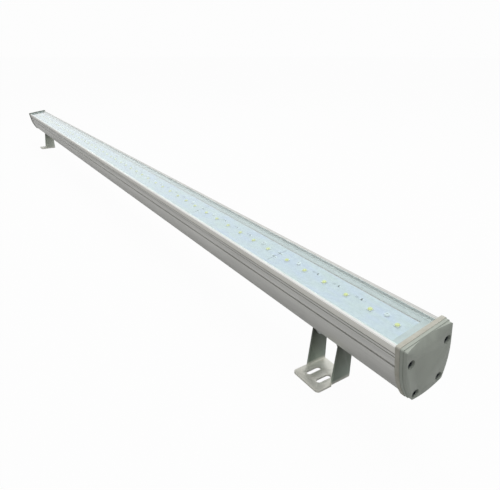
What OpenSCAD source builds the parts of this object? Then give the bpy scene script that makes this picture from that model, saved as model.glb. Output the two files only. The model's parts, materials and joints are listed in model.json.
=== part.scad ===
// Outdoor wall washer light: a slim LED bar on two tilting brackets.
// Millimetres, +Z up. The bar lies along X with its near end at +X, and leans
// its lit face towards -Y. The origin is under the middle of the whole light,
// on the surface that both brackets stand on.

/* [Lamp] */
// Length over both end caps
lamp_l = 1200; // [700:50:1500]
// Forward tilt of the bar on its brackets
tilt = 9; // [0:1:20]

/* [Housing] */
// Width of the extrusion
housing_w = 37.6; // [37:0.2:44]
// Height of the extrusion
housing_h = 37.6; // [36.6:0.2:44]
// Height of the upright part of each side
side_h = 12; // [10:0.5:14]
// Radius of the curved part of each side
side_r = 54.8; // [50:0.2:70]
// Radius of the two lower corners
corner_r = 3; // [2.6:0.1:3.6]
// Wall round the driver room
wall_t = 2.4; // [1.8:0.1:2.8]
// Floor under the light boards
floor_t = 2; // [1.6:0.1:2.6]

/* [Housing grooves] */
// Drop from the rim to the first fine groove
first_groove_drop = 4.9; // [4.5:0.1:5.4]
// Drop from the rim to the second fine groove
second_groove_drop = 7.2; // [6.8:0.1:7.8]
// Drop from the rim to the deep groove
deep_groove_drop = 14; // [13.9:0.1:16]
// Width of a fine groove
fine_groove_w = 0.8; // [0.4:0.1:1]
// Depth of a fine groove
fine_groove_d = 0.8; // [0.4:0.1:1]
// Width of the deep groove
deep_groove_w = 1.6; // [1:0.1:2]
// Depth of the deep groove
deep_groove_d = 1.4; // [0.8:0.1:1.6]
// Drop from the rim to the middle of the shallow flute above the deep groove
flute_drop = 11; // [10.7:0.1:11.1]
// Width of the flute
flute_w = 3.8; // [3:0.1:4]
// Depth of the flute
flute_d = 0.4; // [0.2:0.1:0.6]

/* [Slot under the housing] */
// Width of the slot's mouth
slot_w = 6.4; // [5:0.1:8]
// Thickness of the lips beside the mouth
slot_lip_t = 1.8; // [1.4:0.1:2.2]
// Width of the room behind the lips
slot_room_w = 11.4; // [10:0.1:12.4]
// Height of the room behind the lips
slot_room_h = 3.6; // [3.4:0.1:4.4]
// Web between that room and the driver room
slot_web_t = 1.6; // [1.2:0.1:2.4]

/* [Glass] */
// Thickness of the glass
glass_t = 3; // [2.5:0.1:4]
// Drop from the rim to the face of the glass
glass_drop = 0.2; // [0.1:0.1:0.5]
// Width of the rim beside the glass
rim_w = 2; // [1.6:0.1:2.4]
// Width of the seat under the edge of the glass
seat_w = 2.6; // [2:0.1:3]
// Thickness of the seal under and beside the glass
seal_t = 0.4; // [0.3:0.1:0.6]

/* [Light boards] */
// Lights on each board
board_leds = 6; // [4:1:8]
// Distance from one light to the next on a board
led_pitch = 21.2; // [20:0.1:24]
// Least distance from the last light on a board to the first on the next
least_joint_pitch = 25; // [24.5:0.1:30]
// Distance from a gasket to the room of the first board
row_end = 2.55; // [2.1:0.05:4]
// Width of a board
board_w = 24; // [20:0.1:24.4]
// Thickness of a board
board_t = 1.2; // [1:0.1:1.6]
// Thickness of the heat pad under a board
pad_t = 0.2; // [0.1:0.05:0.4]
// Gap between two boards
board_gap = 0.4; // [0.2:0.1:1]
// Room over the boards for the lights
led_room = 1.9; // [1.8:0.1:4]
// Side of a light's square body
led_side = 3.5; // [2.8:0.1:5]
// Height of a light's square body
led_body_h = 0.6; // [0.4:0.1:0.8]
// Radius of the clear dome on a light
led_dome_r = 2; // [1.8:0.1:2.4]
// Height of that dome
led_dome_h = 0.9; // [0.6:0.1:1]

/* [End caps] */
// How far a cap stands proud of the housing's sides
cap_side = 1.2; // [0.8:0.1:2]
// How far it stands above the rim
cap_crown = 2.4; // [0.6:0.1:3]
// How far it reaches below the housing
cap_base = 2; // [1.6:0.1:3]
// Radius of the cap's bowed lower edge
cap_bow_r = 52; // [48:1:90]
// Radius of the cap's upper corners
cap_corner_r = 1.2; // [0.6:0.1:2]
// Thickness of the flange
flange_t = 2; // [1.8:0.1:3]
// Inset of the flange inside the gasket's edge
flange_in = 0.3; // [0.1:0.1:0.6]
// Thickness of the raised face plate
face_t = 2.5; // [2:0.1:3]
// Inset of the face plate inside the gasket's edge
face_in = 0.8; // [0.7:0.1:1]
// Height of the bevel in the middle of the face plate
bevel_h = 6.7; // [4:0.1:8]
// Radius of the bevel's bowed edge
bevel_r = 31; // [30:1:60]
// Thickness of the gasket
gasket_t = 3; // [2:0.1:4]

/* [Cap screws] */
// Drop from the rim to the two upper screws
upper_screw_drop = 8.9; // [8.6:0.1:10.4]
// Distance of the upper screws from the housing's side
upper_screw_in = 3.4; // [3.3:0.1:4]
// Diameter of the thread
cap_screw_d = 2.8; // [2.5:0.1:3]
// Length under the head
cap_screw_l = 16; // [12:1:25]
// Diameter of the head
cap_head_d = 5.5; // [5:0.1:5.6]
// Height of the head
cap_head_h = 1.7; // [1.2:0.1:1.8]

/* [Board screws] */
// Diameter of the thread
board_screw_d = 2; // [1.6:0.1:2.4]
// Length under the head
board_screw_l = 3.2; // [3:0.1:3.4]
// Diameter of the head
board_head_d = 4.2; // [3.4:0.1:4.6]
// Height of the head
board_head_h = 1.2; // [0.8:0.1:1.4]
// Distance of the screws behind the row of lights
board_screw_back = 3.2; // [2:0.1:4]

/* [Brackets] */
// Distance from each end of the bar to the middle of its bracket
bracket_in = 80; // [60:5:150]
// Length of the foot along the bar
foot_l = 28; // [26:0.5:40]
// Depth of the foot across the bar
foot_d = 31.5; // [29:0.5:40]
// Thickness of the sheet
sheet_t = 1.5; // [1.2:0.1:2]
// Outer radius of the folds
fold_r = 2.2; // [2.1:0.1:3]
// Height of the pivot above the ground
pivot_h = 34; // [30:0.5:60]
// Radius of an arm's round head
head_r = 7; // [6:0.1:7.4]
// Width of an arm at its foot
arm_foot_w = 18; // [15:0.5:20]
// Radius of the foot's two front corners
foot_corner_r = 3; // [2:0.5:6]
// Width of the two fixing slots
fix_slot_w = 4; // [3:0.1:5]
// Length of the two fixing slots
fix_slot_l = 13; // [8:0.5:16]
// Distance between the two fixing slots
fix_slot_pitch = 11; // [9:0.5:13]
// Distance from the foot's back edge to the middle of the slots
fix_slot_back = 18; // [12:0.5:20]

/* [Hangers] */
// Drop from the housing's underside to the pivot
pivot_drop = 8; // [7.8:0.1:10]
// Thickness of the hanger's sheet
hanger_t = 2; // [1.5:0.1:2.2]
// Depth of the hanger's top across the bar
hanger_d = 15; // [13:0.5:20]
// Radius of the hanger's round ears
ear_r = 6; // [5:0.1:6.4]
// Side gap between an ear and its arm
ear_gap = 0.3; // [0.2:0.05:0.5]
// Length of the nut bar in the slot
nut_bar_l = 20; // [18:1:23]
// Thickness of the nut bar
nut_bar_t = 3.2; // [2.6:0.1:3.3]
// Gap beside the nut bar in the slot
nut_bar_gap = 0.3; // [0.2:0.05:0.5]
// Distance between the two hanger screws
hanger_screw_pitch = 12; // [10:0.5:12]
// Diameter of a hanger screw
hanger_screw_d = 4; // [3:0.5:4]
// Diameter of its head
hanger_head_d = 7; // [6:0.1:7.6]
// Height of its head
hanger_head_h = 2.4; // [2:0.1:2.6]

/* [Pivot bolts] */
// Diameter of the bolt
bolt_d = 5; // [4:0.5:5]
// Radial clearance round a bolt or thread
run_gap = 0.05; // [0.03:0.01:0.08]
// Width across the flats of bolt head and nut
hex_w = 8; // [7.5:0.1:9]
// Height of the bolt's head
bolt_head_h = 3.5; // [3:0.1:4.5]
// Height of the nut
bolt_nut_h = 5; // [4:0.1:6]
// Diameter of the washers
washer_d = 10; // [9:0.5:12]
// Thickness of the washers
washer_t = 1; // [0.8:0.1:1.4]
// Length of thread past the nut
bolt_tail = 1.5; // [0.5:0.1:3]

/* [Cable gland] */
// Diameter of the gland's thread
gland_d = 12; // [10:0.5:14]
// Width across the flats of the gland
gland_hex_w = 15; // [14.4:0.1:17]
// Thickness of the gland's hexagon
gland_hex_t = 3.5; // [3:0.1:5]
// Length of the dome nut
dome_nut_l = 10; // [9:0.5:14]
// Thickness of the sealing washer
gland_washer_t = 1; // [0.8:0.1:1.5]
// Thickness of the lock nut inside
lock_nut_t = 3; // [2:0.1:3.6]
// Diameter of the cable that the gland grips
cable_d = 6; // [4.5:0.1:6.5]

/* [Driver] */
// Length of the driver's tray
tray_l = 190; // [150:5:260]
// Outer width of the tray
tray_w = 23; // [21:0.5:24]
// Height of the tray
tray_h = 15; // [13:0.5:17]
// Wall of the tray
tray_t = 1; // [0.8:0.1:1.4]
// Distance from the gasket to the tray
tray_in = 26; // [20:1:60]
// Thickness of the driver's board
driver_board_t = 1.6; // [1.2:0.1:2]

/* [Hidden] */
$fn = 64;

// Overrun of every cut past the face it opens
over = 1;
// How far a lower corner's round crosses the faces beside it
blend = 0.01;
// Number of sides of a nut or bolt head
hex_sides = 6;

// Heights on the bar, measured from the pivot axis with the bar level
housing_z = pivot_drop;
rim_z = housing_z + housing_h;
half_w = housing_w / 2;
arc_z = rim_z - side_h;
glass_z = rim_z - glass_drop - glass_t;
seat_z = glass_z - seal_t;
board_z = seat_z - led_room;
floor_z = board_z - board_t - pad_t;
room_top = floor_z - floor_t;
slot_room_z = housing_z + slot_lip_t;
room_z = slot_room_z + slot_room_h + slot_web_t;
cap_top = rim_z + cap_crown;
cap_z = housing_z - cap_base;

// Places across the bar
glass_room = half_w - rim_w;
glass_half = glass_room - seal_t;
seat_in = glass_room - seat_w;
board_side_gap = 0.3;
board_room = board_w / 2 + board_side_gap;
corner_y = sqrt(pow(side_r - corner_r, 2) - pow(arc_z - housing_z - corner_r, 2)) - side_r + half_w;
upper_screw_y = half_w - upper_screw_in;
upper_screw_z = rim_z - upper_screw_drop;
lower_screw_shift = 0.5;
lower_screw_y = corner_y - lower_screw_shift / 2;
lower_screw_z = housing_z + corner_r + lower_screw_shift;
room_corner_r = 2;
boss_wall = 1.2;
screw_places = [for (s = [-1, 1])
    each [[s * upper_screw_y, upper_screw_z], [s * lower_screw_y, lower_screw_z]]];

// Places along the bar
cap_t = flange_t + face_t;
gland_out = gland_washer_t + gland_hex_t + dome_nut_l;
near_x = (lamp_l + gland_out) / 2;
far_x = near_x - lamp_l;
mid_x = (near_x + far_x) / 2;
housing_l = lamp_l - 2 * (cap_t + gasket_t);
near_bracket_x = near_x - bracket_in;
far_bracket_x = far_x + bracket_in;

// Place of the pivot, so that the tilted bar stands over the origin
bar_back = side_r + cap_side - (side_r - half_w) * cos(tilt) - arc_z * sin(tilt);
crown_y = half_w + cap_side - cap_corner_r;
bar_front = crown_y * cos(tilt) + (cap_top - cap_corner_r) * sin(tilt) + cap_corner_r;
pivot_y = (bar_front - bar_back) / 2;

// Light boards: as many as the housing holds, spread to fill it, named in three groups
lit_l = (board_leds - 1) * led_pitch;
row_l = housing_l - 2 * row_end;
board_count = floor(row_l / (lit_l + least_joint_pitch));
board_span = row_l / board_count;
joint_pitch = board_span - lit_l;
board_l = board_span - board_gap;
board_groups = 3;
row_x = mid_x - row_l / 2;
screw_hole_gap = 0.15;
resistor_l = 2;
resistor_w = 1.25;
resistor_h = 0.5;
resistor_back = 4;
link_l = 6;
link_w = 1.6;
link_t = 0.3;
link_y = 3;

// Wires from the driver to the first board
wire_d = 1.4;
wire_pitch = 1.7;
wire_hole_d = 4;
wire_in = 5.8;
wire_x = row_x + wire_in;
wire_run = 2.6;
wire_rise = 2;
wire_low_z = room_z + tray_h + wire_rise;
dam_l = 7;

// Cap screw clearances
cap_hole_gap = 0.3;
head_gap = 0.25;
head_sink = 1;

// Gland
gland_z = (room_z + room_top) / 2;
gland_wall = 1.6;
gland_neck_l = 6.5;
gland_inner_gap = 0.1;
insert_wall = 1.4;
insert_l = 6;
dome_h = 3;
lock_hex_w = 15;
lock_room_gap = 0.5;
lock_room_d = lock_hex_w / cos(180 / hex_sides) + 2 * lock_room_gap;
gland_reach = cap_t + lock_nut_t;

// Driver
tray_ledge_h = 2;
tray_ledge_w = 1.2;
driver_board_gap = 0.3;
driver_board_z = room_z + tray_t + tray_ledge_h;
driver_top_z = driver_board_z + driver_board_t;
tray_x = far_x + cap_t + gasket_t + tray_in;
terminal_l = 12;
terminal_w = 10;
terminal_h = 8;
terminal_wire_d = 2.4;
terminal_pitch = 5;
transformer_l = 22;
transformer_w = 17;
transformer_h = 12;
bobbin_l = 15;
bobbin_d = 10;
capacitor_d = 10;
capacitor_h = 13;
capacitor_gap = 2;
choke_d = 12;
choke_t = 6;
choke_bore = 5;

// Places of the driver's parts, as shares of the tray's length
terminal_share = 0.06;
wire_share = 0.13;
choke_share = 0.2;
capacitor_share = 0.36;
transformer_share = 0.64;

// An outline in the YZ plane, run along X from x0 for a length
module along(x0, l) {
    translate([x0, 0, 0]) rotate([90, 0, 90]) linear_extrude(l) children();
}

// A round bar along X
module rod(x0, l, d) {
    translate([x0, 0, 0]) rotate([0, 90, 0]) cylinder(h = l, d = d);
}

// A hexagon bar along X
module hex_rod(x0, l, w) {
    translate([x0, 0, 0]) rotate([0, 90, 0])
        cylinder(h = l, d = w / cos(180 / hex_sides), $fn = hex_sides);
}

// The bar's outline: upright upper sides, arcs below and rounded lower corners
module shield(half, low, high, arc_r, corner, crown) {
    arc_y = arc_r - half;
    cy = sqrt(pow(arc_r - corner, 2) - pow(arc_z - low - corner, 2)) - arc_y;
    cz = low + corner;
    // where a corner's round meets the arc
    reach = arc_r / (arc_r - corner);
    meet_y = (cy + arc_y) * reach - arc_y;
    meet_z = (cz - arc_z) * reach + arc_z;
    intersection() {
        translate([-half, meet_z]) square([2 * half, arc_z - meet_z]);
        translate([-arc_y, arc_z]) circle(arc_r, $fn = 180);
        translate([arc_y, arc_z]) circle(arc_r, $fn = 180);
    }
    polygon([[-cy, low], [cy, low], [meet_y, meet_z], [-meet_y, meet_z]]);
    for (s = [-1, 1]) translate([s * cy, cz]) circle(corner + blend);
    difference() {
        translate([-half, arc_z]) square([2 * half, high - arc_z]);
        for (s = [0, 1]) mirror([s, 0])
            translate([half - crown, high - crown]) square(crown + over);
    }
    if (crown > 0) for (s = [-1, 1]) translate([s * (half - crown), high - crown]) circle(crown);
}

// The end caps' outline, drawn in by an inset
module cap_outline(inset) {
    intersection() {
        shield(half_w + cap_side - inset, cap_z + inset, cap_top - inset,
            side_r + cap_side - inset, corner_r + cap_side, cap_corner_r);
        translate([0, cap_z + cap_bow_r]) circle(cap_bow_r - inset, $fn = 180);
    }
}

// The bar's own place: pivot axis up on the brackets, tilted
module on_bar() {
    translate([0, pivot_y, pivot_h]) rotate([tilt, 0, 0]) children();
}

// A bar part drawn with x = 0 at the end cap's face and the bar towards -x
module at_near() {
    on_bar() translate([near_x, 0, 0]) children();
}

module at_far() {
    on_bar() translate([far_x, 0, 0]) mirror([1, 0, 0]) children();
}

// A hanger part, tilted with the bar, centred on its bracket
module on_hanger(x) {
    on_bar() translate([x, 0, 0]) children();
}

// A bracket part, upright, with the pivot axis through its origin
module on_bracket(x) {
    translate([x, pivot_y, pivot_h]) children();
}

module groove(drop, w, d) {
    for (s = [0, 1]) mirror([s, 0])
        translate([half_w - d, rim_z - drop - w / 2]) square([d + over, w]);
}

// Shallow flutes, curved across, between the fine grooves and the deep one
module flute() {
    r = (pow(flute_w / 2, 2) + pow(flute_d, 2)) / (2 * flute_d);
    for (s = [-1, 1]) translate([s * (half_w + r - flute_d), rim_z - flute_drop]) circle(r);
}

module housing_outline() {
    boss_r = cap_screw_d / 2 + boss_wall;
    difference() {
        shield(half_w, housing_z, rim_z, side_r, corner_r, 0);
        // rebate for the glass, sloped flanks and bed for the boards
        translate([-glass_room, seat_z]) square([2 * glass_room, rim_z - seat_z + over]);
        polygon([[-seat_in, seat_z + over], [-seat_in, seat_z], [-board_room, board_z],
            [board_room, board_z], [seat_in, seat_z], [seat_in, seat_z + over]]);
        translate([-board_room, floor_z]) square([2 * board_room, board_z - floor_z]);
        // driver room, less the bosses of the upper screws
        difference() {
            shield(half_w - wall_t, room_z, room_top, side_r - wall_t, room_corner_r, 0);
            for (s = [-1, 1]) translate([s * upper_screw_y, upper_screw_z]) circle(boss_r);
        }
        // slot for the hangers' nut bars
        translate([-slot_room_w / 2, slot_room_z]) square([slot_room_w, slot_room_h]);
        translate([-slot_w / 2, housing_z - over]) square([slot_w, slot_lip_t + 2 * over]);
        for (p = screw_places) translate(p) circle(d = cap_screw_d + 2 * run_gap);
        groove(first_groove_drop, fine_groove_w, fine_groove_d);
        groove(second_groove_drop, fine_groove_w, fine_groove_d);
        groove(deep_groove_drop, deep_groove_w, deep_groove_d);
        flute();
    }
}

module housing() {
    color("silver") on_bar() difference() {
        along(mid_x - housing_l / 2, housing_l) housing_outline();
        translate([wire_x, 0, room_top - over]) cylinder(h = floor_t + 2 * over, d = wire_hole_d);
        for (i = [0 : board_count - 1], p = board_screw_spots())
            translate([board_x(i) + p, board_screw_back, floor_z - floor_t - over])
                cylinder(h = floor_t + 2 * over, d = board_screw_d + 2 * run_gap);
    }
}

module glass_cover() {
    color("lightcyan", 0.35) on_bar()
        translate([mid_x - housing_l / 2, -glass_half, glass_z])
            cube([housing_l, 2 * glass_half, glass_t]);
}

// Seal strips under and beside both long edges of the glass
module glass_seal() {
    color("gainsboro") on_bar() along(mid_x - housing_l / 2, housing_l)
        for (s = [0, 1]) mirror([s, 0]) {
            translate([seat_in, seat_z]) square([seat_w, seal_t]);
            translate([glass_half, seat_z]) square([seal_t, seal_t + glass_t]);
        }
}

function board_x(i) = row_x + i * board_span;
function group_start(g) = floor(board_count * g / board_groups);
function boards_of(g) = [for (i = [group_start(g) : 1 : group_start(g + 1) - 1]) i];

// Places between two lights of a board, counted from its far end
function between_lights(gaps) = [for (k = gaps) joint_pitch / 2 + (k + 1 / 2) * led_pitch];
function board_screw_spots() = between_lights([0, board_leds - 2]);
function resistor_spots() = between_lights([for (k = [1 : 1 : board_leds - 3]) k]);

module light_boards(g) {
    color("aliceblue") on_bar() for (i = boards_of(g)) difference() {
        translate([board_x(i) + board_gap / 2, -board_w / 2, floor_z + pad_t])
            cube([board_l, board_w, board_t]);
        for (p = board_screw_spots())
            translate([board_x(i) + p, board_screw_back, floor_z - over])
                cylinder(h = board_t + pad_t + 2 * over, d = board_screw_d + 2 * screw_hole_gap);
        if (i == 0) translate([wire_x, 0, floor_z - over])
            cylinder(h = board_t + pad_t + 2 * over, d = wire_hole_d);
    }
}

module led() {
    translate([-led_side / 2, -led_side / 2, 0]) cube([led_side, led_side, led_body_h]);
    intersection() {
        translate([0, 0, led_body_h + led_dome_h - led_dome_r]) sphere(led_dome_r);
        translate([-led_side / 2, -led_side / 2, led_body_h]) cube([led_side, led_side, led_dome_h]);
    }
}

module lights(g) {
    color("khaki") on_bar()
        for (i = boards_of(g), k = [0 : board_leds - 1])
            translate([board_x(i) + joint_pitch / 2 + k * led_pitch, 0, board_z]) led();
}

module heat_pads() {
    color("lightgray") on_bar() difference() {
        for (i = [0 : board_count - 1])
            translate([board_x(i) + board_gap / 2, -board_w / 2, floor_z]) cube([board_l, board_w, pad_t]);
        for (i = [0 : board_count - 1], p = board_screw_spots())
            translate([board_x(i) + p, board_screw_back, floor_z - over])
                cylinder(h = pad_t + 2 * over, d = board_screw_d + 2 * screw_hole_gap);
        translate([wire_x, 0, floor_z - over]) cylinder(h = pad_t + 2 * over, d = wire_hole_d);
    }
}

module board_screws() {
    color("white") on_bar()
        for (i = [0 : board_count - 1], p = board_screw_spots())
            translate([board_x(i) + p, board_screw_back, board_z]) {
                cylinder(h = board_head_h, d1 = board_head_d, d2 = board_head_d - board_head_h / 2);
                translate([0, 0, -board_screw_l]) cylinder(h = board_screw_l, d = board_screw_d);
            }
}

module board_resistors() {
    color("dimgray") on_bar()
        for (i = [0 : board_count - 1], p = resistor_spots())
            translate([board_x(i) + p - resistor_l / 2, resistor_back - resistor_w / 2, board_z])
                cube([resistor_l, resistor_w, resistor_h]);
}

module board_links() {
    color("tan") on_bar()
        for (i = [1 : board_count - 1], s = [-1, 1])
            translate([board_x(i) - link_l / 2, s * link_y - link_w / 2, board_z])
                cube([link_l, link_w, link_t]);
}

// Two wires from the driver to the hole in the floor, up through it and out onto the first board
module feed_wires() {
    landing = tray_x + tray_l * wire_share - wire_x;
    color("firebrick") on_bar()
        for (s = [-1, 1]) translate([wire_x, s * wire_pitch / 2, 0]) {
            translate([0, 0, wire_low_z]) cylinder(h = board_z + wire_d / 2 - wire_low_z, d = wire_d);
            translate([0, 0, board_z + wire_d / 2]) sphere(d = wire_d);
            translate([0, 0, board_z + wire_d / 2]) rotate([-s * 90, 0, 0])
                cylinder(h = wire_run, d = wire_d);
            translate([0, 0, wire_low_z]) {
                sphere(d = wire_d);
                rod(min(0, landing), abs(landing), wire_d);
            }
            translate([landing, 0, wire_low_z]) sphere(d = wire_d);
            translate([landing, 0, driver_top_z]) cylinder(h = wire_low_z - driver_top_z, d = wire_d);
        }
}

// Silicone fill over the boards' ends, closing the space under the glass
module end_dam() {
    x0 = -cap_t - gasket_t;
    board_end = row_end + board_gap / 2;
    along(x0 - dam_l, dam_l) polygon([[-board_room, board_z], [board_room, board_z],
        [seat_in, seat_z], [seat_in, glass_z], [-seat_in, glass_z], [-seat_in, seat_z]]);
    along(x0 - board_end + board_side_gap, board_end - board_side_gap)
        translate([-board_room, floor_z]) square([2 * board_room, board_z - floor_z]);
}

module gasket(hole_d) {
    difference() {
        along(-cap_t - gasket_t, gasket_t) cap_outline(0);
        for (p = screw_places) translate([0, p[0], p[1]])
            rod(-cap_t - gasket_t - over, gasket_t + 2 * over, cap_screw_d + 2 * cap_hole_gap);
        if (hole_d > 0) translate([0, 0, gland_z])
            rod(-cap_t - gasket_t - over, gasket_t + 2 * over, hole_d);
    }
}

module end_cap(hole_d) {
    sink = cap_head_h + head_sink;
    well_d = cap_head_d + 2 * head_gap;
    plate_top = cap_top - face_in;
    bevel_z = plate_top - bevel_h + bevel_r;
    difference() {
        union() {
            along(-cap_t, flange_t) cap_outline(flange_in);
            along(-face_t, face_t) cap_outline(face_in);
        }
        // bowed bevel along the top of the face plate
        translate([-face_t, 0, bevel_z]) rotate([0, 90, 0])
            cylinder(h = face_t + over, r1 = bevel_r - bevel_h,
                r2 = bevel_r + over * bevel_h / face_t, $fn = 180);
        for (p = screw_places) translate([0, p[0], p[1]]) {
            rod(-cap_t - over, cap_t + 2 * over, cap_screw_d + 2 * cap_hole_gap);
            rod(-sink, sink + over, well_d);
        }
        if (hole_d > 0) translate([0, 0, gland_z]) rod(-cap_t - over, cap_t + 2 * over, hole_d);
    }
}

module cap_screws() {
    sink = cap_head_h + head_sink;
    for (p = screw_places) translate([0, p[0], p[1]]) {
        rod(-sink, cap_head_h, cap_head_d);
        rod(-sink - cap_screw_l, cap_screw_l, cap_screw_d);
    }
}

module driver_tray() {
    color("whitesmoke") on_bar() along(tray_x, tray_l) difference() {
        translate([-tray_w / 2, room_z]) square([tray_w, tray_h]);
        translate([-tray_w / 2 + tray_t, driver_board_z]) square([tray_w - 2 * tray_t, tray_h]);
        translate([-tray_w / 2 + tray_t + tray_ledge_w, room_z + tray_t])
            square([tray_w - 2 * (tray_t + tray_ledge_w), tray_h]);
    }
}

module driver_board() {
    w = tray_w - 2 * (tray_t + driver_board_gap);
    color("seagreen") on_bar()
        translate([tray_x + tray_t, -w / 2, driver_board_z]) cube([tray_l - 2 * tray_t, w, driver_board_t]);
}

module on_driver(share) {
    on_bar() translate([tray_x + tray_l * share, 0, driver_top_z]) children();
}

module driver_transformer() {
    color("goldenrod") on_driver(transformer_share) difference() {
        translate([-transformer_l / 2, -transformer_w / 2, 0])
            cube([transformer_l, transformer_w, transformer_h]);
        for (s = [0, 1]) mirror([0, s, 0])
            translate([-bobbin_l / 2, bobbin_d / 2, transformer_h - bobbin_d])
                cube([bobbin_l, transformer_w, bobbin_d + over]);
    }
}

module driver_capacitors() {
    color("midnightblue") on_driver(capacitor_share)
        for (s = [-1, 1]) translate([s * (capacitor_d + capacitor_gap) / 2, 0, 0])
            cylinder(h = capacitor_h, d = capacitor_d);
}

module driver_choke() {
    color("darkslategray") on_driver(choke_share) difference() {
        cylinder(h = choke_t, d = choke_d);
        translate([0, 0, -over]) cylinder(h = choke_t + 2 * over, d = choke_bore);
    }
}

module supply_terminal() {
    color("forestgreen") on_driver(terminal_share) difference() {
        translate([-terminal_l / 2, -terminal_w / 2, 0]) cube([terminal_l, terminal_w, terminal_h]);
        for (s = [-1, 1]) translate([0, s * terminal_pitch / 2, terminal_h / 2])
            rod(-terminal_l, terminal_l, terminal_wire_d);
    }
}

// Gland parts, drawn with x = 0 at the end cap's face and outwards to +x
module gland_body() {
    bore = cable_d + 2 * insert_wall + 2 * gland_inner_gap;
    hex_end = gland_washer_t + gland_hex_t;
    color("dimgray") at_far() translate([0, 0, gland_z]) difference() {
        union() {
            rod(-gland_reach, gland_reach + hex_end, gland_d - 2 * run_gap);
            hex_rod(gland_washer_t, gland_hex_t, gland_hex_w);
            rod(hex_end, gland_neck_l, gland_d - 2 * run_gap);
        }
        rod(-gland_reach - over, gland_reach + hex_end + 2 * over, cable_d + insert_wall);
        rod(hex_end + gland_neck_l - insert_l, insert_l + over, bore);
    }
}

module gland_insert() {
    hex_end = gland_washer_t + gland_hex_t;
    color("black") at_far() translate([0, 0, gland_z]) difference() {
        rod(hex_end + gland_neck_l - insert_l, insert_l, cable_d + 2 * insert_wall);
        rod(hex_end + gland_neck_l - insert_l - over, insert_l + 2 * over, cable_d);
    }
}

module gland_dome_nut() {
    hex_end = gland_washer_t + gland_hex_t;
    hex_l = dome_nut_l - dome_h;
    lip = dome_nut_l - gland_neck_l;
    color("dimgray") at_far() translate([hex_end, 0, gland_z]) difference() {
        union() {
            hex_rod(0, hex_l, gland_hex_w);
            translate([hex_l, 0, 0]) rotate([0, 90, 0])
                cylinder(h = dome_h, d1 = gland_hex_w, d2 = gland_hex_w - dome_h);
        }
        rod(-over, dome_nut_l - lip + over, gland_d + 2 * run_gap);
        rod(-over, dome_nut_l + 2 * over, cable_d + gland_wall);
    }
}

module gland_washer() {
    color("black") at_far() translate([0, 0, gland_z]) difference() {
        rod(0, gland_washer_t, gland_hex_w);
        rod(-over, gland_washer_t + 2 * over, gland_d + 2 * run_gap);
    }
}

module gland_lock_nut() {
    color("dimgray") at_far() translate([-cap_t - lock_nut_t, 0, gland_z]) difference() {
        hex_rod(0, lock_nut_t, lock_hex_w);
        rod(-over, lock_nut_t + 2 * over, gland_d + 2 * run_gap);
    }
}

module nut_bar(x) {
    w = slot_room_w - 2 * nut_bar_gap;
    color("lightsteelblue") on_hanger(x) difference() {
        translate([-nut_bar_l / 2, -w / 2, slot_room_z]) cube([nut_bar_l, w, nut_bar_t]);
        for (s = [-1, 1]) translate([s * hanger_screw_pitch / 2, 0, slot_room_z - over])
            cylinder(h = nut_bar_t + 2 * over, d = hanger_screw_d + 2 * run_gap);
    }
}

module hanger(x) {
    half_l = foot_l / 2 - sheet_t - ear_gap;
    top_z = housing_z - hanger_t;
    color("lightsteelblue") on_hanger(x) difference() {
        union() {
            translate([-half_l, -hanger_d / 2, top_z]) cube([2 * half_l, hanger_d, hanger_t]);
            for (s = [0, 1]) mirror([s, 0, 0]) {
                translate([half_l - hanger_t, -ear_r, 0]) cube([hanger_t, 2 * ear_r, housing_z]);
                rod(half_l - hanger_t, hanger_t, 2 * ear_r);
            }
        }
        rod(-half_l - over, 2 * (half_l + over), bolt_d + 2 * run_gap);
        for (s = [-1, 1]) translate([s * hanger_screw_pitch / 2, 0, top_z - over])
            cylinder(h = hanger_t + 2 * over, d = hanger_screw_d + 2 * screw_hole_gap);
    }
}

module hanger_screws(x) {
    top_z = housing_z - hanger_t;
    color("silver") on_hanger(x)
        for (s = [-1, 1]) translate([s * hanger_screw_pitch / 2, 0, 0]) {
            translate([0, 0, top_z - hanger_head_h]) cylinder(h = hanger_head_h, d = hanger_head_d);
            translate([0, 0, top_z])
                cylinder(h = hanger_t + slot_lip_t + nut_bar_t, d = hanger_screw_d);
        }
}

// Side view of an arm: tapered from its foot to a round head at the pivot
module arm_outline() {
    front = head_r - arm_foot_w;
    union() {
        circle(head_r);
        polygon([[front, -pivot_h], [head_r, -pivot_h], [head_r, 0], [-head_r, 0]]);
    }
}

// End view of the folded sheet, with rounded folds
module fold_outline() {
    half = foot_l / 2;
    inner_r = fold_r - sheet_t;
    difference() {
        union() {
            translate([-half, fold_r - pivot_h]) square([foot_l, pivot_h + head_r]);
            translate([fold_r - half, -pivot_h]) square([foot_l - 2 * fold_r, fold_r]);
            for (s = [-1, 1]) translate([s * (half - fold_r), fold_r - pivot_h]) circle(fold_r);
        }
        translate([sheet_t - half, fold_r - pivot_h]) square([foot_l - 2 * sheet_t, pivot_h + head_r + over]);
        translate([fold_r - half, sheet_t - pivot_h]) square([foot_l - 2 * fold_r, pivot_h]);
        for (s = [-1, 1]) translate([s * (half - fold_r), fold_r - pivot_h]) circle(inner_r);
    }
}

// Plan of the foot, with its two front corners rounded
module foot_outline() {
    half = foot_l / 2;
    front = head_r - foot_d;
    difference() {
        translate([-half, front]) square([foot_l, foot_d]);
        translate([-half - over, front - over]) square(foot_corner_r + over);
        translate([half - foot_corner_r, front - over]) square(foot_corner_r + over);
    }
    for (s = [-1, 1]) translate([s * (half - foot_corner_r), front + foot_corner_r]) circle(foot_corner_r);
}

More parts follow.
